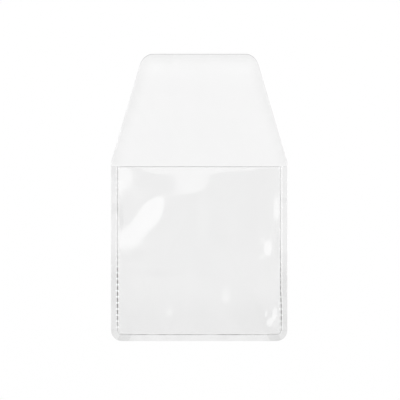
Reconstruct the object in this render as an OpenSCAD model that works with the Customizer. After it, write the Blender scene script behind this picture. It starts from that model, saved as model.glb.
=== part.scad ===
// Coin flip: a pocket of two clear vinyl films, welded on three sides, with a tapered closing flap.
// It lies on its back, open: +X to the right, +Y from the pocket to the flap, +Z out of the front.
// The origin is the middle of the outline, on the underside of the rear film.

/* [Pouch] */
// Width across the outer edges
pouch_w = 50; // [44:0.5:66]
// Height of the pocket, from its bottom edge to its mouth
pocket_h = 49.5; // [40:0.5:66]
// Radius of the two bottom corners
corner_r = 3.1; // [2.6:0.1:6]
// Thickness of each film
film_t = 0.2; // [0.15:0.01:0.3]

/* [Front film] */
// Height of the crown, at the middle of the mouth, above where the film lies in the weld
crown_h = 1; // [0.6:0.1:2]
// Height of the tallest pucker above the crowned film
pucker_h = 0.35; // [0.1:0.05:0.4]
// Depth that the free edge of the mouth is drawn back between the side welds
mouth_dip = 0.1; // [0.05:0.05:0.6]

/* [Flap] */
// Length from the mouth of the pocket to the tip of the flap
flap_h = 31.9; // [24:0.1:40]
// Width of the tip, before its corners are rounded
flap_tip_w = 31.8; // [24:0.1:40]
// Radius of the two corners at the tip
flap_corner_r = 4.1; // [2:0.1:6]
// Length of the straight sides between the mouth and the taper
shoulder_h = 1.1; // [0.6:0.1:2.6]
// Gap between the closed flap and the crown of the front film
flap_gap = 0.4; // [0.2:0.05:0.6]

/* [Weld] */
// Width of the whole welded margin
weld_w = 2.25; // [1.8:0.05:2.5]
// Width of the knurled seam: two beads with a groove between them
seam_w = 0.85; // [0.7:0.05:1.1]
// Width of the groove in the seam
groove_w = 0.35; // [0.25:0.05:0.45]
// Depth of the groove below the top of the two films
groove_d = 0.14; // [0.1:0.01:0.2]
// Height of the beads above the top of the two films
bead_h = 0.08; // [0.04:0.01:0.15]
// Distance from one rib of the knurl to the next
rib_pitch = 0.57; // [0.5:0.01:0.8]
// Height of the ribs above the floor of the groove
rib_h = 0.09; // [0.05:0.01:0.12]
// Width of the rim that the cutting edge leaves along the outline
rim_w = 0.45; // [0.3:0.05:0.6]
// Depth that the flat land between seam and rim lies below the rim
land_d = 0.05; // [0.03:0.01:0.08]

/* [Hidden] */

film_colour = "aliceblue";
weld_colour = "lightsteelblue";

// Outline
total_l = pocket_h + flap_h;
base_y = -total_l / 2;
mouth_y = base_y + pocket_h;
tip_y = base_y + total_l;
half_w = pouch_w / 2;

// Inside edge of the weld, where the two films of the pocket part
inner_half_w = half_w - weld_w;
inner_y = base_y + weld_w;
inner_r = corner_r - weld_w;
inner_h = mouth_y - inner_y;

// Levels above the underside
films_z = 2 * film_t;
groove_z = films_z - groove_d;
bead_z = films_z + bead_h;
land_z = films_z - land_d;
crown_z = films_z + crown_h;

// Sections of the beads and of the rim
bead_w = (seam_w - groove_w) / 2;
bead_r = bead_w / 2;
rim_r = film_t / 2;

// Fold of the flap: it turns about a line half way up to the closed flap,
// and the strip that bends is as long as that half turn
fold_z = (crown_z + flap_gap + film_t) / 2;
fold_l = PI * (fold_z - film_t / 2);
flap_y = mouth_y + fold_l;

// Taper of the flap, and the reach of its corner arcs from the corners
tip_half_w = flap_tip_w / 2;
taper_a = atan2(half_w - tip_half_w, flap_h - shoulder_h);
arc_reach = flap_corner_r * tan((90 - taper_a) / 2);

// Faces of the arcs
corner_fn = 96;
bead_fn = 32;

// Cells of the front film: across, up, and round its bottom corners
cells_across = 22;
cells_up = 22;
cells_corner = 3;

// Puckers of the front film: middle across as a share of half the pocket's width; middle up,
// half length and half width as shares of its height; slant in degrees; height as a share of pucker_h
pucker_shares = [
    [-0.10, 0.69, 0.51, 0.30, 47, 1],
    [0.78, 0.65, 0.36, 0.20, 50, 0.3],
    [0.70, 0.50, 0.14, 0.16, 60, 0.55]
];

// Hollows of the front film, in the same way, with the depth as a share of crown_h
hollow_shares = [
    [-0.72, 0.76, 0.18, 0.34, 113, 0.14],
    [0.08, 0.90, 0.37, 0.22, 94, 0.6],
    [0.48, 1.08, 0.15, 0.76, 94, 0.17],
    [-0.32, 1.05, 0.18, 0.34, 78, 0.17]
];

// How fast the puckers, the hollows and the drawn-back mouth fade out towards the welds
edge_power = 6;

// Pocket inside the weld, in plan
module pocket_outline() {
    translate([-inner_half_w, inner_y + inner_r])
        square([2 * inner_half_w, inner_h - inner_r]);
    translate([inner_r - inner_half_w, inner_y])
        square([2 * (inner_half_w - inner_r), inner_r]);
    for (side = [-1, 1])
        translate([side * (inner_half_w - inner_r), inner_y + inner_r])
            circle(r = inner_r, $fn = corner_fn);
}

// Flap with its bending strip, from the mouth to the tip, in plan
module flap_outline() {
    corner_x = tip_half_w - arc_reach;
    side_x = tip_half_w + arc_reach * sin(taper_a);
    side_y = tip_y - arc_reach * cos(taper_a);
    shoulder_y = mouth_y + shoulder_h;
    polygon([
        [-half_w, mouth_y], [half_w, mouth_y], [half_w, shoulder_y], [side_x, side_y],
        [corner_x, tip_y], [-corner_x, tip_y], [-side_x, side_y], [-half_w, shoulder_y]
    ]);
    for (side = [-1, 1])
        translate([side * corner_x, tip_y - flap_corner_r])
            circle(r = flap_corner_r, $fn = corner_fn);
}

// Part of the flap's film between two levels of Y
module flap_film(low_y, high_y) {
    linear_extrude(film_t)
        intersection() {
            flap_outline();
            translate([-half_w, low_y])
                square([pouch_w, high_y - low_y]);
        }
}

// Section of the weld: X goes from the pocket to the outer edge, Y is the height
module weld_section() {
    for (bead_x = [0, seam_w - bead_w])
        translate([bead_x, 0]) {
            square([bead_w, bead_z - bead_r]);
            translate([bead_r, bead_z - bead_r])
                circle(r = bead_r, $fn = bead_fn);
        }
    square([seam_w, groove_z]);
    translate([seam_w - bead_r, 0])
        square([weld_w - seam_w - rim_w + bead_r, land_z]);
    translate([weld_w - rim_w, 0]) {
        square([rim_w - rim_r, films_z]);
        square([rim_w, films_z - rim_r]);
        translate([rim_w - rim_r, films_z - rim_r])
            circle(r = rim_r, $fn = bead_fn);
    }
}

// Straight run of the weld along +Y, with the pocket on its -X side
module weld_run(run_l) {
    translate([0, run_l, 0])
        rotate([90, 0, 0])
            linear_extrude(run_l)
                weld_section();
}

// Knurl of a straight run: a row of sharp ribs across the groove, rooted in the beads
module knurl(run_l) {
    count = round(run_l / rib_pitch);
    pitch = run_l / count;
    root_z = groove_z / 2;
    ridge_line = [for (i = [0:count - 1]) each [[i * pitch, groove_z], [(i + 0.5) * pitch, groove_z + rib_h]]];
    translate([bead_r, 0, 0])
        rotate([90, 0, 90])
            linear_extrude(seam_w - bead_w)
                polygon(concat([[0, root_z]], ridge_line, [[run_l, groove_z], [run_l, root_z]]));
}

// Side weld with its knurl, on the right
module side_weld() {
    run_l = pocket_h - corner_r;
    translate([inner_half_w, base_y + corner_r, 0]) {
        weld_run(run_l);
        knurl(run_l);
    }
}

// Corner of the weld at the bottom right
module corner_weld() {
    translate([half_w - corner_r, base_y + corner_r, 0])
        rotate([0, 0, -90])
            rotate_extrude(angle = 90, $fn = corner_fn)
                translate([inner_r, 0])
                    weld_section();
}

// Smooth hump that is 1 in the middle and level with nothing at its ends
function hump(t) = abs(t) < 1 ? pow(1 - t * t, 2) : 0;

// Height of one fold of the film at a point, as a share of the tallest
function fold(x, y, shares) =
    let (dx = x - shares[0] * inner_half_w)
    let (dy = y - inner_y - shares[1] * inner_h)
    let (along = dx * cos(shares[4]) + dy * sin(shares[4]))
    let (aside = dy * cos(shares[4]) - dx * sin(shares[4]))
    shares[5] * hump(along / (shares[2] * inner_h)) * hump(aside / (shares[3] * inner_h));

// All folds of one kind at a point
function folds(x, y, kinds) = [for (shares = kinds) fold(x, y, shares)] * [for (shares = kinds) 1];

// Rows of the front film: [height above the inside of the bottom weld, half width]
film_rows = concat(
    [
        for (i = [0:cells_corner - 1])
        let (a = 90 * i / cells_corner)
        [inner_r * (1 - cos(a)), inner_half_w - inner_r * (1 - sin(a))]
    ],
    [for (i = [0:cells_up]) [inner_r + (inner_h - inner_r) * i / cells_up, inner_half_w]]
);

// Point on the underside of the front film, at a share of the way across a row
function film_point(row, across_share) =
    let (x = across_share * row[1])
    let (up_share = row[0] / inner_h)
    let (free = (1 - pow(across_share, edge_power)) * (1 - pow(1 - up_share, edge_power)))
    let (y = inner_y + row[0])
    let (crown = crown_h * (1 - pow(across_share, 2)) * sin(90 * up_share))
    let (uneven = pucker_h * folds(x, y, pucker_shares) - crown_h * folds(x, y, hollow_shares))
    [x, y - mouth_dip * free * pow(up_share, edge_power), film_t + crown + free * uneven];

// A closed skin of triangles: the film's top face, its underside and the edge all round
module film_skin() {
    last_row = len(film_rows) - 1;
    columns = cells_across + 1;
    under = [
        for (row = film_rows) for (i = [0:cells_across]) film_point(row, 2 * i / cells_across - 1)
    ];
    top = [for (p = under) [p[0], p[1], p[2] + film_t]];
    count = len(top);
    top_faces = [
        for (r = [0:last_row - 1]) for (c = [0:cells_across - 1])
        let (a = r * columns + c)
        let (b = a + columns)
        each [[a, b, b + 1], [a, b + 1, a + 1]]
    ];
    under_faces = [for (f = top_faces) [f[0] + count, f[2] + count, f[1] + count]];
    outline = concat(
        [for (c = [0:cells_across - 1]) c],
        [for (r = [0:last_row - 1]) r * columns + cells_across],
        [for (c = [0:cells_across - 1]) last_row * columns + cells_across - c],
        [for (r = [0:last_row - 1]) (last_row - r) * columns]
    );
    edge_faces = [
        for (i = [0:len(outline) - 1])
        let (p = outline[i])
        let (q = outline[(i + 1) % len(outline)])
        each [[p, q, q + count], [p, q + count, p + count]]
    ];
    polyhedron(points = concat(top, under), faces = concat(top_faces, under_faces, edge_faces));
}

module rear_sheet() {
    color(film_colour)
        linear_extrude(film_t)
            pocket_outline();
}

module front_sheet() {
    color(film_colour)
        film_skin();
}

module left_weld() {
    color(weld_colour)
        mirror([1, 0, 0])
            side_weld();
}

module right_weld() {
    color(weld_colour)
        side_weld();
}

module bottom_weld() {
    run_l = pouch_w - 2 * corner_r;
    color(weld_colour) {
        translate([-run_l / 2, inner_y, 0])
            rotate([0, 0, -90])
                weld_run(run_l);
        corner_weld();
        mirror([1, 0, 0])
            corner_weld();
    }
}

module fold_strip() {
    color(film_colour)
        flap_film(mouth_y, flap_y);
}

module flap() {
    color(film_colour)
        flap_film(flap_y, tip_y);
}

rear_sheet();
front_sheet();
left_weld();
right_weld();
bottom_weld();
fold_strip();
flap();
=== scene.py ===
"""Looks of the clear coin flip: two glossy vinyl films, their knurled weld, and a plain white studio."""
import math

import bpy
import numpy as np
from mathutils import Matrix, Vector


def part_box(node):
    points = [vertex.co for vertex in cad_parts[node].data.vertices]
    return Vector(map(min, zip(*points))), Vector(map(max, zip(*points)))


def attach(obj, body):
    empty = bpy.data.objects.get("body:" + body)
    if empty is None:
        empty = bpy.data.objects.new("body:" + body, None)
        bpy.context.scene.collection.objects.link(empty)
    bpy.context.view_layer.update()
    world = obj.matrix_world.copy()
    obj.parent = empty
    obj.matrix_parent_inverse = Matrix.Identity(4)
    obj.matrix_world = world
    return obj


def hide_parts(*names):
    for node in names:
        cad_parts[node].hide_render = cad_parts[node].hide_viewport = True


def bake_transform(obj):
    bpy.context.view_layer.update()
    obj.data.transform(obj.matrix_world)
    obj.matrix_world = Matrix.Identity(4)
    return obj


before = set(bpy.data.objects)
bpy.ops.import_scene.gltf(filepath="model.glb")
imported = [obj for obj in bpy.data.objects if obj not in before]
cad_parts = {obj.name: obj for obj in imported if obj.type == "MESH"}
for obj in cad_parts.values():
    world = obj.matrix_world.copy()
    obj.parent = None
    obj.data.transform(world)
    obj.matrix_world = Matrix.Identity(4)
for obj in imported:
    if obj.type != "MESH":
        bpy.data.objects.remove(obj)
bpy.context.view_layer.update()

MM = 0.001

# Sizes that the frame holds, in metres
rear_low, rear_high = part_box("rear_sheet")
strip_low, strip_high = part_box("fold_strip")
FILM_T = rear_high.z - rear_low.z
INNER_HALF_W = rear_high.x
INNER_LOW_Y = rear_low.y
MOUTH_Y = rear_high.y
POCKET_H = MOUTH_Y - INNER_LOW_Y
HALF_W = strip_high.x
FOLD_END_Y = strip_high.y
TIP_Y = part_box("flap")[1].y
SEAM_START_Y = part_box("left_weld")[0].y
FRONT_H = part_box("front_sheet")[1].z - 2 * FILM_T

# Sizes of the outline that the boxes don't show
INNER_R = 0.85 * MM
SHOULDER_H = 1.1 * MM
TIP_HALF_W = 15.9 * MM
TIP_R = 4.1 * MM

# Gap that keeps the films off the welds' faces
CLEARANCE = 0.02 * MM

# The crown's share of the front film's height. The puckers take the rest.
CROWN_SHARE = 0.8
CROWN_H = CROWN_SHARE * FRONT_H

# How fast the puckers and hollows fade out towards the welds
EDGE_POWER = 6

# Puckers and hollows of the front film, in mm:
# middle across, middle up, half length, half width, slant in degrees, height
PUCKERS = [
    (-8, -5.5, 20, 8, 39, 0.31),
    (-18.5, -3.5, 8.5, 9.5, 90, -0.14),
    (1, 12.5, 6, 33, 90, -0.3),
    (-1, 14, 14, 7, 85, -0.54),
    (-8, 14, 10, 10, 105, -0.32),
    (21, -3.5, 7, 2.5, 90, 0.14),
    (18, -14.5, 4, 3, 90, 0.26),
    (7.5, -24, 8, 4.5, 90, 0.23),
    (-8.5, -30.5, 4.5, 3, 90, 0.155),
    (20.5, -33.5, 4.5, 2.5, 80, 0.82),
    (-19, -30, 2.5, 1.5, 90, 0.1),
]

# Soft patches of painted shade (greyer) and painted highlight (clearer) on the films, in mm:
# middle across, middle up, half width, half height, grey
SHADE_AND_HIGHLIGHT_PATCHES = [
    (1.0, -6.5, 2.6, 10.0, -0.008),
    (15.5, -33.5, 8.5, 6.5, 0.008),
    (-13.0, -21.5, 9.5, 1.6, 0.006),
    (-20.5, -27.0, 3.4, 14.0, 0.008),
    (0.0, 41.0, 26.0, 5.5, 0.022),
    (22.2, -13.5, 0.7, 5.5, 0.02),
    (-22.1, -5.9, 0.9, 5.6, 0.025),
    (7.7, -27.2, 1.8, 3.2, -0.012),
    (21.2, -35.2, 2.2, 2.4, -0.018),
    (-8.7, -31.5, 1.6, 3.0, -0.01),
    (10.0, 8.0, 4.5, 1.6, 0.008),
    (-19.6, -16.3, 5.0, 3.4, 0.012),
]

# Sizes of the seam, outwards from the pocket's inner edge
GROOVE_AT = 0.425 * MM
GROOVE_HALF_W = 0.17 * MM
BEAD_AT = (0.125 * MM, 0.725 * MM)
BEAD_HALF_W = 0.18 * MM
RIBS = 81
RIB_PITCH = (MOUTH_Y - SEAM_START_Y) / RIBS
RIBS_PER_DASH = 3

# How far the right bar's pressed pattern, with its painted shade, lies off the groove, and the heights
# between which it crosses
ASKEW = 0.09 * MM
ASKEW_Y = (-31 * MM, -26 * MM)

# Where the looks change: the width of a quick change, and the longer fades
STEP_W = 1.0 * MM
FILM_FADE_Y = (-36 * MM, -24 * MM)
WELD_FADE_Y = (-28 * MM, -10 * MM)
BOTTOM_FADE_W = 6.0 * MM
CORNER_FADE_H = 3.5 * MM

# Vinyl: its refraction, and the share of the lamps' light that it lets through
VINYL_IOR = 1.52
LAMP_SHARE = 0.96

# Noise patterns: stretch, cycles per metre, detail, roughness
SMEARS = ((1.0, 0.55, 1.0), 90, 2.0, 0.5)
FILM_DULLNESS = ((1.0, 1.0, 1.0), 140, 4.0, 0.5)
FILM_WAVES = ((1.0, 0.6, 1.0), 240, 2.0, 0.5)
WELD_HAZE = ((1.0, 1.0, 1.0), 220, 3.0, 0.5)
GROOVE_SHADE_NOISE = ((0.3, 0.3, 1.0), 420, 5.0, 0.7)
WELD_DULLNESS = ((1.0, 1.0, 1.0), 300, 3.0, 0.5)
WELD_GRAIN = ((1.0, 1.0, 1.0), 900, 3.0, 0.5)

# The part of a noise pattern that counts, from nothing to all
NOISE_SPAN = (0.35, 0.7)
SMEAR_SPAN = (0.35, 0.75)
GROOVE_SHADE_SPAN = (0.3, 0.65)

# Greys of the films, as the share of the light that they take; the greys low in the pocket, beside a cut
# edge and on its lip are painted shade
SMEAR_GREY = 0.008
LOW_PAINTED_SHADE = 0.02
POCKET_GREY = 0.005
FLAP_GREY = 0.034
EDGE_PAINTED_SHADE = 0.07
# painted shade: the dark line along a cut lip
LIP_PAINTED_SHADE = 0.8

# The films' band of painted shade beside a cut edge: its widths, its cut_edge value and how that falls
# inwards
REAR_BAND_W = 3.8 * MM
FRONT_BAND_W = 0.4 * MM
BAND_TOP = 0.4
BAND_POWER = 1.5

# What a cut edge that faces the tip adds to BAND_TOP, at its two rims and on its lip between them
RIM_MORE = 0.1
LIP_MORE = 0.6

# Roughness and waves of the films
FILM_ROUGHNESS = (0.05, 0.1)
LIP_FROM = 0.5
LIP_ROUGHNESS = 0.3
FILM_WAVE_H = 0.004 * MM

# Haze of the weld, as the share of the light that it takes
HAZE_HIGH = 0.14
HAZE_LOW = 0.245
HAZE_BOTTOM_LESS = 0.095
HAZE_UNEVEN = (-0.01, 0.03)
DARKEST = 0.05

# Strength of the painted shade in the groove
GROOVE_SHADE_BOTTOM = 0.8
GROOVE_SHADE_SIDE = 0.6
GROOVE_SHADE_LOW_MORE = 0.6
GROOVE_SHADE_RIGHT_LESS = 0.1
GROOVE_SHADE_CORNER_LESS = 0.5
GROOVE_SHADE_UNEVEN = (0.4, 1.05)
DASH_SPAN = (-0.9, -0.3)
RIB_LEAST = 0.75

# How clear the gaps between the dashes are, high up and on the right, and the right outer bead low down;
# the clear beads also stand as painted glints
GAP_HIGH = 0.3
GAP_RIGHT = 0.6
SHINE_LOW = 0.4

# The part of a line's half width that has its full strength
LINE_CORE = 0.4

# Roughness and grain of the weld
LAND_ROUGHNESS = (0.05, 0.12)
GROOVE_ROUGHNESS = 0.15
WELD_GRAIN_H = 0.006 * MM

# Steps of the films' meshes
REAR_STEPS = 90
FRONT_STEPS = 120
FOLD_STEPS = 36
FLAP_STEPS = 60
INNER_CORNER_ROWS = 8
TIP_CORNER_ROWS = 12
RIM_STEPS = 6
SHARP_ANGLE = math.radians(50)

# A distance that no band reaches
FAR = 1.0

# Floor of the studio, in metres, and the steps of its mesh
FLOOR_R = 1.8
WALL_R = 2.6
WALL_H = 0.5
FLOOR_RINGS = 20
WALL_RINGS = 12
FLOOR_TURNS = 96
FLOOR_WHITE = 0.95
SEEN_WHITE = 0.85

# Panels of the ceiling round its dark opening, in degrees off the vertical as the object sees them
CEILING_Z = 1.2
OPENING_LEFT = -10.0
OPENING_RIGHT = 13.2
OPENING_BACK = 5.0
OPENING_FRONT = -11.0
SIDE_PANEL_W = 32.0
SIDE_PANEL_Y = (-22, 22)
END_PANEL_H = 24.0
PANEL_GAP = 0.2
SIDE_RADIANCE = 1.3
BACK_RADIANCE = 0.8
FRONT_RADIANCE = 1.2

# Softboxes beside the table, in metres
SOFTBOX_X = 1.2
SOFTBOX_Y = 0.3
SOFTBOX_Z = 0.65
SOFTBOX_SIZE = (0.8, 0.6)
SOFTBOX_RADIANCE = 5.6

# Strength of the tent straight above and towards the horizon, and the heights between which it changes
TENT_TOP = 0.05
TENT_SIDE = 0.62
TENT_SPAN = (0.4, 0.95)

# Camera: its place, the width that it sees, and its sensor's width in mm
CAMERA_AT = (0.23 * MM, -0.7 * MM, 0.6)
VIEW_W = 113.45 * MM
SENSOR_W = 36


# Shader nodes

def add(tree, kind, **values):
    """A new node of that kind, with its properties set."""
    node = tree.nodes.new(kind)
    for name, value in values.items():
        setattr(node, name, value)
    return node


def feed(tree, socket, value):
    """Link an output to the socket, or set the socket to a number."""
    if isinstance(value, bpy.types.NodeSocket):
        tree.links.new(value, socket)
    else:
        socket.default_value = value


def combined(tree, operation, *values):
    """The result of one step of arithmetic."""
    node = add(tree, "ShaderNodeMath", operation=operation)
    for socket, value in zip(node.inputs, values):
        feed(tree, socket, value)
    return node.outputs[0]


def chained(tree, operation, values):
    """The first value, with each later one worked into it."""
    result = values[0]
    for value in values[1:]:
        result = combined(tree, operation, result, value)
    return result


def total(tree, *values):
    """The sum of the values."""
    return chained(tree, "ADD", values)


def product(tree, *values):
    """The product of the values."""
    return chained(tree, "MULTIPLY", values)


def less(tree, value, other):
    """The value less the other one."""
    return combined(tree, "SUBTRACT", value, other)


def ranged(tree, value, low, high, to_low, to_high, smooth=False):
    """The value, taken from one range to another and held inside it."""
    node = add(tree, "ShaderNodeMapRange")
    if smooth:
        node.interpolation_type = "SMOOTHSTEP"
    limits = {"Value": value, "From Min": low, "From Max": high, "To Min": to_low, "To Max": to_high}
    for name, limit in limits.items():
        feed(tree, node.inputs[name], limit)
    return node.outputs["Result"]


def between(tree, share, at_none, at_all):
    """One level where the share is 0, going over to another where it is 1."""
    return ranged(tree, share, 0.0, 1.0, at_none, at_all)


def separated(tree, place):
    """How far across and up a place is."""
    node = add(tree, "ShaderNodeSeparateXYZ")
    tree.links.new(place, node.inputs["Vector"])
    return node.outputs["X"], node.outputs["Y"]


def noise(tree, place, pattern):
    """A noise pattern over the piece."""
    stretch, scale, detail, roughness = pattern
    mapping = add(tree, "ShaderNodeMapping")
    mapping.inputs["Scale"].default_value = stretch
    tree.links.new(place, mapping.inputs["Vector"])
    node = add(tree, "ShaderNodeTexNoise")
    values = {"Vector": mapping.outputs["Vector"], "Scale": scale, "Detail": detail, "Roughness": roughness}
    for name, value in values.items():
        feed(tree, node.inputs[name], value)
    return node.outputs["Fac"]


def bumped(tree, height, distance):
    """A normal that follows the height, which is distance metres at 1."""
    node = add(tree, "ShaderNodeBump")
    node.inputs["Distance"].default_value = distance
    tree.links.new(height, node.inputs["Height"])
    return node.outputs["Normal"]


def mixed(tree, share, first, second):
    """The first shader where the share is 0, going over to the second where it is 1."""
    node = add(tree, "ShaderNodeMixShader")
    feed(tree, node.inputs["Fac"], share)
    feed(tree, node.inputs[1], first)
    feed(tree, node.inputs[2], second)
    return node.outputs["Shader"]


def grey_colour(level):
    """A grey of that level as a colour."""
    return level, level, level, 1


def new_material(name):
    """An empty material, its tree and the socket of its surface."""
    material = bpy.data.materials.new(name)
    material.use_nodes = True
    tree = material.node_tree
    tree.nodes.remove(tree.nodes["Principled BSDF"])
    return material, tree, tree.nodes["Material Output"].inputs["Surface"]


# Materials of the object

def vinyl(name, shade, roughness, normal):
    """Clear vinyl, which the light of the lamps passes straight through. shade, roughness and normal are
    made from the tree and the place on the piece."""
    material, tree, surface = new_material(name)
    place = add(tree, "ShaderNodeTexCoord").outputs["Object"]
    shader = add(tree, "ShaderNodeBsdfPrincipled")
    shader.inputs["IOR"].default_value = VINYL_IOR
    shader.inputs["Transmission Weight"].default_value = 1.0
    feed(tree, shader.inputs["Base Color"], shade(tree, place))
    feed(tree, shader.inputs["Roughness"], roughness(tree, place))
    feed(tree, shader.inputs["Normal"], normal(tree, place))
    open_to_lamps = add(tree, "ShaderNodeBsdfTransparent")
    open_to_lamps.inputs["Color"].default_value = grey_colour(LAMP_SHARE)
    path = add(tree, "ShaderNodeLightPath")
    unseen = combined(tree, "MAXIMUM", path.outputs["Is Shadow Ray"], path.outputs["Is Diffuse Ray"])
    feed(tree, surface, mixed(tree, unseen, shader.outputs["BSDF"], open_to_lamps.outputs["BSDF"]))
    return material


def cut_edge(tree):
    """Up to BAND_TOP beside a film's cut edges, and from there up to 1 on the lips that face the tip."""
    return add(tree, "ShaderNodeAttribute", attribute_name="cut_edge").outputs["Fac"]


def patch(tree, x, y, middle_x, middle_y, half_w, half_h, grey):
    """A soft oval that adds its grey in the middle and nothing at its rim."""
    across = combined(tree, "DIVIDE", less(tree, x, middle_x * MM), half_w * MM)
    up = combined(tree, "DIVIDE", less(tree, y, middle_y * MM), half_h * MM)
    off = total(tree, product(tree, across, across), product(tree, up, up))
    return ranged(tree, off, 0.0, 1.0, grey, 0.0, smooth=True)


def film_shade(tree, place):
    """Nearly colourless, a touch greyer in soft smears and on the flap, with painted shade low in the
    pocket and at the cut edges, and soft patches of painted shade and painted highlight."""
    x, y = separated(tree, place)
    edge = cut_edge(tree)
    greys = [
        ranged(tree, noise(tree, place, SMEARS), *SMEAR_SPAN, 0.0, SMEAR_GREY),
        # painted shade: greyer low in the pocket
        ranged(tree, y, *FILM_FADE_Y, LOW_PAINTED_SHADE, 0.0, smooth=True),
        ranged(tree, y, MOUTH_Y, MOUTH_Y + STEP_W, POCKET_GREY, FLAP_GREY),
        # painted shade beside the cut edges
        ranged(tree, edge, 0.0, BAND_TOP, 0.0, EDGE_PAINTED_SHADE),
        # painted shade: a dark line on the cut lips
        ranged(tree, edge, BAND_TOP, 1.0, 0.0, LIP_PAINTED_SHADE),
    ]
    # soft patches of painted shade and painted highlight
    greys += [patch(tree, x, y, *values) for values in SHADE_AND_HIGHLIGHT_PATCHES]
    return combined(tree, "MINIMUM", less(tree, 1.0, total(tree, *greys)), 1.0)


def film_roughness(tree, place):
    """Glossy, duller in smears and rough on the cut lips."""
    smears = ranged(tree, noise(tree, place, FILM_DULLNESS), *NOISE_SPAN, *FILM_ROUGHNESS)
    lip = ranged(tree, cut_edge(tree), LIP_FROM, 1.0, 0.0, LIP_ROUGHNESS)
    return total(tree, smears, lip)


def film_normal(tree, place):
    """The faint waves that rolled vinyl keeps, longer down the film than across it."""
    return bumped(tree, noise(tree, place, FILM_WAVES), FILM_WAVE_H)


def seam_distance(tree, place):
    """How far outside the pocket's inner edge a point of the weld lies."""
    x, y = separated(tree, place)
    across = less(tree, combined(tree, "ABSOLUTE", x), INNER_HALF_W - INNER_R)
    down = less(tree, INNER_LOW_Y + INNER_R, y)
    outside = [combined(tree, "MAXIMUM", value, 0.0) for value in (across, down)]
    squares = [combined(tree, "POWER", value, 2.0) for value in outside]
    return less(tree, combined(tree, "SQRT", total(tree, *squares)), INNER_R)


def line_mask(tree, distance, middle, half_w):
    """1 along a line of the seam at that distance, 0 beside it."""
    off = combined(tree, "ABSOLUTE", less(tree, distance, middle))
    return ranged(tree, off, LINE_CORE * half_w, half_w, 1.0, 0.0, smooth=True)


def knurl(tree, y):
    """The pattern of the knurled bar along a side, which sets the groove's painted shade, as two shares:
    dashes of three ribs with a clear ridge between them, and the ribs."""
    along = product(tree, less(tree, y, SEAM_START_Y), 2 * math.pi / RIB_PITCH)
    dash = combined(tree, "COSINE", combined(tree, "DIVIDE", along, RIBS_PER_DASH))
    dash = ranged(tree, dash, *DASH_SPAN, 0.0, 1.0, smooth=True)
    rib = ranged(tree, combined(tree, "COSINE", along), -1.0, 1.0, RIB_LEAST, 1.0)
    return dash, rib


def weld_zones(tree, x, y):
    """Shares of the weld's zones: the right half, the lower part, the sides, the bottom between its
    corners, and the start of the sides at the corners."""
    right = ranged(tree, x, -STEP_W, STEP_W, 0.0, 1.0)
    lower = ranged(tree, y, *WELD_FADE_Y, 1.0, 0.0, smooth=True)
    side = ranged(tree, y, SEAM_START_Y - STEP_W, SEAM_START_Y, 0.0, 1.0)
    across = combined(tree, "ABSOLUTE", x)
    fade_x = (INNER_HALF_W - BOTTOM_FADE_W, INNER_HALF_W - STEP_W)
    bottom = ranged(tree, across, *fade_x, 1.0, 0.0, smooth=True)
    start = ranged(tree, y, SEAM_START_Y, SEAM_START_Y + CORNER_FADE_H, 1.0, 0.0, smooth=True)
    corner = product(tree, less(tree, 1.0, bottom), start)
    return right, lower, side, bottom, corner


def clear_glinting_beads(tree, pressed_distance, gap, lower, right_side):
    """How clear the beads are, which partly paints their glints: both between the dashes, and on the right
    side all of the outer one.
    """
    inner, outer = (line_mask(tree, pressed_distance, middle, BEAD_HALF_W) for middle in BEAD_AT)
    clear = product(tree, total(tree, inner, outer), gap)
    shine = product(tree, outer, between(tree, lower, 1.0, SHINE_LOW), right_side)
    return combined(tree, "MAXIMUM", clear, shine)


def weld_shade(tree, place):
    """Pressed vinyl is hazier than the films, and darker towards the bottom. Painted shade fills its groove
    in dashes. The beads beside the groove are clear between the dashes, partly as painted glints. The right
    bar pressed a little askew: its painted shade drifts across the groove, has weaker gaps, and leaves the
    outer bead clear, partly as a painted glint."""
    x, y = separated(tree, place)
    right, lower, side, bottom, corner = weld_zones(tree, x, y)
    dash, rib = knurl(tree, y)
    gap = product(
        tree, less(tree, 1.0, dash), between(tree, lower, GAP_HIGH, 1.0),
        between(tree, right, 1.0, GAP_RIGHT), side)
    strength = total(
        tree, between(tree, side, GROOVE_SHADE_BOTTOM, GROOVE_SHADE_SIDE),
        product(tree, side, between(tree, lower, 0.0, GROOVE_SHADE_LOW_MORE)),
        product(tree, side, between(tree, right, 0.0, -GROOVE_SHADE_RIGHT_LESS)),
        between(tree, corner, 0.0, -GROOVE_SHADE_CORNER_LESS))
    # uneven strength of the painted shade in the groove
    uneven = ranged(tree, noise(tree, place, GROOVE_SHADE_NOISE), *GROOVE_SHADE_SPAN, *GROOVE_SHADE_UNEVEN)
    depth = product(tree, strength, rib, uneven, less(tree, 1.0, gap))
    drift = product(tree, ranged(tree, y, *ASKEW_Y, ASKEW, -ASKEW), right, side)
    pressed_distance = less(tree, seam_distance(tree, place), drift)
    # painted shade in the groove
    groove = product(tree, line_mask(tree, pressed_distance, GROOVE_AT, GROOVE_HALF_W), depth)
    haze = total(
        tree, between(tree, lower, HAZE_HIGH, HAZE_LOW), between(tree, bottom, 0.0, -HAZE_BOTTOM_LESS),
        ranged(tree, noise(tree, place, WELD_HAZE), *NOISE_SPAN, *HAZE_UNEVEN))
    # clearer beads: partly real clarity, partly painted glints
    clear = clear_glinting_beads(tree, pressed_distance, gap, lower, product(tree, right, side))
    haze = product(tree, haze, less(tree, 1.0, clear))
    return ranged(tree, total(tree, haze, groove), 0.0, 1 - DARKEST, 1.0, DARKEST)


def weld_roughness(tree, place):
    """Smooth on the land and the beads, frosted in the groove."""
    land = ranged(tree, noise(tree, place, WELD_DULLNESS), *NOISE_SPAN, *LAND_ROUGHNESS)
    groove = line_mask(tree, seam_distance(tree, place), GROOVE_AT, GROOVE_HALF_W)
    return total(tree, land, product(tree, groove, GROOVE_ROUGHNESS))


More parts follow.
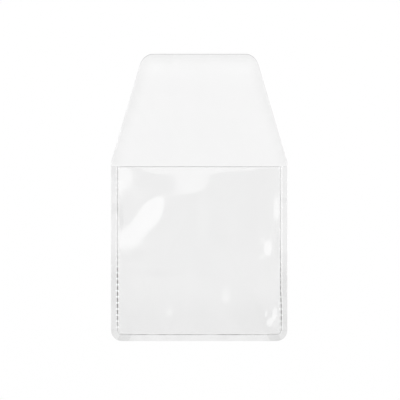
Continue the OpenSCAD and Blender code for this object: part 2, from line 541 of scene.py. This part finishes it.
def weld_normal(tree, place):
    """The fine unevenness that the welding bar leaves."""
    return bumped(tree, noise(tree, place, WELD_GRAIN), WELD_GRAIN_H)


# Films

def mesh_object(name, points, faces):
    """A smooth mesh in the scene."""
    mesh = bpy.data.meshes.new(name)
    mesh.from_pydata(points, [], faces)
    mesh.shade_smooth()
    thing = bpy.data.objects.new(name, mesh)
    bpy.context.scene.collection.objects.link(thing)
    return thing


def edge_band(x, y, half_w, end_y, free_y, band_w):
    """The cut_edge value over a film's faces, from BAND_TOP at a cut edge to nothing band_w inwards."""
    inside = np.minimum(np.where(y > free_y, half_w - np.abs(x), FAR), end_y - y)
    return BAND_TOP * np.clip(1 - inside / band_w, 0, 1) ** BAND_POWER


def outward_of(outline):
    """The level direction out of a closed outline at each of its points."""
    step = np.roll(outline, -1, axis=0) - np.roll(outline, 1, axis=0)
    outward = np.stack([step[:, 1], -step[:, 0], np.zeros(len(step))], axis=1)
    return outward / np.linalg.norm(outward, axis=1)[:, None]


def film_faces(index, rings):
    """Faces of the top, of the underside, and between the rings of the edge."""
    a = index[:-1, :-1].ravel()
    b = index[:-1, 1:].ravel()
    c = index[1:, 1:].ravel()
    d = index[1:, :-1].ravel()
    faces = [np.stack([a, b, c, d], axis=1), np.stack([a, d, c, b], axis=1) + index.size]
    for upper, lower in zip(rings[:-1], rings[1:]):
        faces.append(np.stack([upper, lower, np.roll(lower, -1), np.roll(upper, -1)], axis=1))
    return np.concatenate(faces).tolist()


def film(name, rows, columns, middle_z, free_y, band_w):
    """A closed film of FILM_T. rows are (y, half width) of the outline and middle_z(x, y) is the height
    of the film's middle. Above free_y its edges are cut and half-round, with a band of painted shade band_w
    wide beside them, and below it they meet the weld."""
    lip = FILM_T / 2
    end_y = rows[-1][0]
    half_w = np.array([row[1] for row in rows])[:, None]
    y = np.minimum(np.array([row[0] for row in rows]), end_y - lip)[:, None]
    x = np.linspace(-1, 1, columns + 1)[None, :] * (half_w - np.where(y > free_y, lip, 0))
    y = np.repeat(y, columns + 1, axis=1)
    z = middle_z(x, y)
    index = np.arange(x.size).reshape(x.shape)
    top = np.stack([x, y, z + lip], axis=-1).reshape(-1, 3)
    under = np.stack([x, y, z - lip], axis=-1).reshape(-1, 3)
    outline = np.concatenate([index[0, :-1], index[:-1, -1], index[-1, :0:-1], index[:0:-1, 0]])
    middle = (top[outline] + under[outline]) / 2
    outward = outward_of(middle)
    free = middle[:, 1] > free_y
    to_tip = np.clip(outward[:, 1], 0, 1)
    band = edge_band(x, y, half_w, end_y, free_y, band_w).ravel()
    band[outline] = np.where(free, BAND_TOP + RIM_MORE * to_tip, 0)
    on_lip = np.where(free, BAND_TOP + LIP_MORE * to_tip, 0)
    points = [top, under]
    edges = [band, band]
    rings = [outline]
    for i in range(1, RIM_STEPS):
        angle = math.pi * i / RIM_STEPS
        ring = middle + outward * (free * lip)[:, None] * math.sin(angle)
        ring[:, 2] += lip * math.cos(angle)
        rings.append(2 * x.size + (i - 1) * len(outline) + np.arange(len(outline)))
        points.append(ring)
        edges.append(on_lip)
    rings.append(outline + x.size)
    piece = mesh_object(name, np.concatenate(points).tolist(), film_faces(index, rings))
    piece.data.set_sharp_from_angle(angle=SHARP_ANGLE)
    attribute = piece.data.attributes.new("cut_edge", "FLOAT", "POINT")
    attribute.data.foreach_set("value", np.concatenate(edges).astype(np.float32))
    return piece


def corner_rows(centre_y, centre_half_w, radius, start, end, count):
    """Rows round a corner of the outline, from one angle to another above the X axis."""
    angles = np.radians(np.linspace(start, end, count))
    return [(centre_y + radius * math.sin(a), centre_half_w + radius * math.cos(a)) for a in angles]


def pocket_rows(steps):
    """Rows of the pocket inside the weld, from its bottom to its mouth."""
    half_w = INNER_HALF_W - CLEARANCE
    low_y = INNER_LOW_Y + CLEARANCE
    rows = corner_rows(low_y + INNER_R, half_w - INNER_R, INNER_R, -90, 0, INNER_CORNER_ROWS)
    rows += [(y, half_w) for y in np.linspace(rows[-1][0], MOUTH_Y, steps + 1)[1:]]
    return rows


def flap_rows():
    """Rows of the fold and the flap, from the mouth to the tip."""
    shoulder_y = MOUTH_Y + SHOULDER_H
    taper = math.atan2(HALF_W - TIP_HALF_W, TIP_Y - shoulder_y)
    reach = TIP_R * math.tan((math.pi / 2 - taper) / 2)
    side_y = TIP_Y - reach * math.cos(taper)

    def half_w(y):
        return HALF_W - max(0.0, y - shoulder_y) * math.tan(taper)

    rows = [(y, half_w(y)) for y in np.linspace(MOUTH_Y + CLEARANCE, FOLD_END_Y, FOLD_STEPS + 1)]
    rows += [(y, half_w(y)) for y in np.linspace(FOLD_END_Y, side_y, FLAP_STEPS + 1)[1:]]
    start = math.degrees(taper)
    rows += corner_rows(TIP_Y - TIP_R, TIP_HALF_W - reach, TIP_R, start, 90, TIP_CORNER_ROWS)[1:]
    return rows


def rear_middle(x, y):
    """The rear film lies flat on the table."""
    return np.full(x.shape, FILM_T / 2)


def hump(t):
    """1 in the middle, and level with nothing from -1 and 1 outwards."""
    return np.clip(1 - t * t, 0, None) ** 2


def front_middle(x, y):
    """The front film lies on the rear one at the weld and rises to the crown at the mouth, with its
    puckers and hollows."""
    across = x / INNER_HALF_W
    up = np.clip((y - INNER_LOW_Y) / POCKET_H, 0, 1)
    crown = CROWN_H * (1 - across ** 2) * np.sin(up * math.pi / 2)
    free = (1 - np.abs(across) ** EDGE_POWER) * (1 - (1 - up) ** EDGE_POWER)
    puckers = np.zeros(x.shape)
    for middle_x, middle_y, half_l, half_w, slant, height in PUCKERS:
        dx = x / MM - middle_x
        dy = y / MM - middle_y
        c = math.cos(math.radians(slant))
        s = math.sin(math.radians(slant))
        puckers += height * MM * hump((dx * c + dy * s) / half_l) * hump((dy * c - dx * s) / half_w)
    return FILM_T + FILM_T / 2 + CLEARANCE + crown + free * puckers


def make_rear_film(material):
    """The one film that is the back of the pocket and the flap: it runs on across the fold."""
    rows = pocket_rows(REAR_STEPS) + flap_rows()
    piece = film("rear_film", rows, REAR_STEPS, rear_middle, MOUTH_Y, REAR_BAND_W)
    piece.data.materials.append(material)
    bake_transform(piece)
    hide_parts("rear_sheet", "fold_strip", "flap")


def make_front_film(material):
    """The front film of the pocket."""
    rows = pocket_rows(FRONT_STEPS)
    piece = film("front_film", rows, FRONT_STEPS, front_middle, MOUTH_Y - FILM_T, FRONT_BAND_W)
    piece.data.materials.append(material)
    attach(piece, "pouch")
    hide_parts("front_sheet")


def dress_welds(material):
    """The welds keep their modelled beads, groove and ribs, and get the pressed vinyl."""
    for node in ("left_weld", "right_weld", "bottom_weld"):
        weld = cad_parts[node]
        weld.data.materials.clear()
        weld.data.materials.append(material)


# Studio

def floor_profile():
    """Radius and height of the floor's rings, from the first one to the top of the wall."""
    rings = [(FLOOR_R * i / FLOOR_RINGS, 0.0) for i in range(1, FLOOR_RINGS + 1)]
    for i in range(1, WALL_RINGS + 1):
        angle = math.pi / 2 * i / WALL_RINGS
        rings.append((FLOOR_R + (WALL_R - FLOOR_R) * math.sin(angle), WALL_H * (1 - math.cos(angle))))
    return rings


def make_floor():
    """A round matt floor whose rim curves up into a low wall. Straight or through the films, the
    camera sees it plain white with a faint shadow."""
    profile = floor_profile()
    points = [(0, 0, 0)]
    faces = []
    for i in range(FLOOR_TURNS):
        c = math.cos(2 * math.pi * i / FLOOR_TURNS)
        s = math.sin(2 * math.pi * i / FLOOR_TURNS)
        points += [(r * c, r * s, z) for r, z in profile]
        this = 1 + i * len(profile)
        other = 1 + (i + 1) % FLOOR_TURNS * len(profile)
        faces.append((0, this, other))
        faces += [(this + k, this + k + 1, other + k + 1, other + k) for k in range(len(profile) - 1)]
    floor = mesh_object("studio_floor", points, faces)
    floor.data.materials.append(studio_white())


def studio_white():
    """Matt white, with a white of strength 1 mixed in for the rays that the camera sees it by."""
    material, tree, surface = new_material("studio_white")
    matt = add(tree, "ShaderNodeBsdfDiffuse")
    matt.inputs["Color"].default_value = grey_colour(FLOOR_WHITE)
    white = add(tree, "ShaderNodeEmission")
    path = add(tree, "ShaderNodeLightPath")
    seen = combined(tree, "MAXIMUM", path.outputs["Is Camera Ray"], path.outputs["Is Glossy Ray"])
    seen = combined(tree, "MAXIMUM", seen, path.outputs["Is Transmission Ray"])
    share = product(tree, seen, SEEN_WHITE)
    feed(tree, surface, mixed(tree, share, matt.outputs["BSDF"], white.outputs["Emission"]))
    return material


def lamp(name, place, size, radiance, aim):
    """A rectangular softbox that looks along aim."""
    light = bpy.data.lights.new(name, "AREA")
    light.shape = "RECTANGLE"
    light.size, light.size_y = size
    light.energy = radiance * math.pi * size[0] * size[1]
    box = bpy.data.objects.new(name, light)
    box.location = place
    box.rotation_euler = aim.to_track_quat("-Z", "Y").to_euler()
    bpy.context.scene.collection.objects.link(box)


def ceiling_panel(name, x_degrees, y_degrees, radiance):
    """A panel of the ceiling that spans these angles off the vertical, as the object sees it."""
    x0, x1 = (CEILING_Z * math.tan(math.radians(a)) for a in x_degrees)
    y0, y1 = (CEILING_Z * math.tan(math.radians(a)) for a in y_degrees)
    place = ((x0 + x1) / 2, (y0 + y1) / 2, CEILING_Z)
    down = Vector((0, 0, -1))
    lamp(name, place, (x1 - x0, y1 - y0), radiance, down)


def make_ceiling():
    """Four panels round the dark opening that the camera looks out of."""
    left = (OPENING_LEFT - SIDE_PANEL_W, OPENING_LEFT)
    right = (OPENING_RIGHT, OPENING_RIGHT + SIDE_PANEL_W)
    across = (OPENING_LEFT + PANEL_GAP, OPENING_RIGHT - PANEL_GAP)
    back = (OPENING_BACK, OPENING_BACK + END_PANEL_H)
    front = (OPENING_FRONT - END_PANEL_H, OPENING_FRONT)
    ceiling_panel("left_panel", left, SIDE_PANEL_Y, SIDE_RADIANCE)
    ceiling_panel("right_panel", right, SIDE_PANEL_Y, SIDE_RADIANCE)
    ceiling_panel("back_panel", across, back, BACK_RADIANCE)
    ceiling_panel("front_panel", across, front, FRONT_RADIANCE)


def make_softboxes():
    """Two softboxes beside the table that face the object."""
    for name, side in (("left_softbox", -1), ("right_softbox", 1)):
        place = (side * SOFTBOX_X, SOFTBOX_Y, SOFTBOX_Z)
        lamp(name, place, SOFTBOX_SIZE, SOFTBOX_RADIANCE, -Vector(place))


def make_world():
    """A dim tent: dark straight above, where the camera looks out, and pale towards the horizon."""
    world = bpy.data.worlds.new("tent")
    bpy.context.scene.world = world
    world.use_nodes = True
    tree = world.node_tree
    split = add(tree, "ShaderNodeSeparateXYZ")
    tree.links.new(add(tree, "ShaderNodeTexCoord").outputs["Generated"], split.inputs["Vector"])
    sky = tree.nodes["Background"]
    sky.inputs["Color"].default_value = grey_colour(1)
    feed(tree, sky.inputs["Strength"], ranged(tree, split.outputs["Z"], *TENT_SPAN, TENT_SIDE, TENT_TOP))


def make_camera():
    """Straight above, through a long lens, as the photograph was taken."""
    lens = bpy.data.cameras.new("camera")
    lens.sensor_width = SENSOR_W
    lens.lens = SENSOR_W * CAMERA_AT[2] / VIEW_W
    camera = bpy.data.objects.new("camera", lens)
    camera.location = CAMERA_AT
    bpy.context.scene.collection.objects.link(camera)
    bpy.context.scene.camera = camera


def make_studio():
    """Floor, world, lamps and camera."""
    bpy.context.scene.view_settings.view_transform = "Standard"
    make_floor()
    make_world()
    make_ceiling()
    make_softboxes()
    make_camera()


film_vinyl = vinyl("film_vinyl", film_shade, film_roughness, film_normal)
weld_vinyl = vinyl("weld_vinyl", weld_shade, weld_roughness, weld_normal)
make_rear_film(film_vinyl)
make_front_film(film_vinyl)
dress_welds(weld_vinyl)
make_studio()
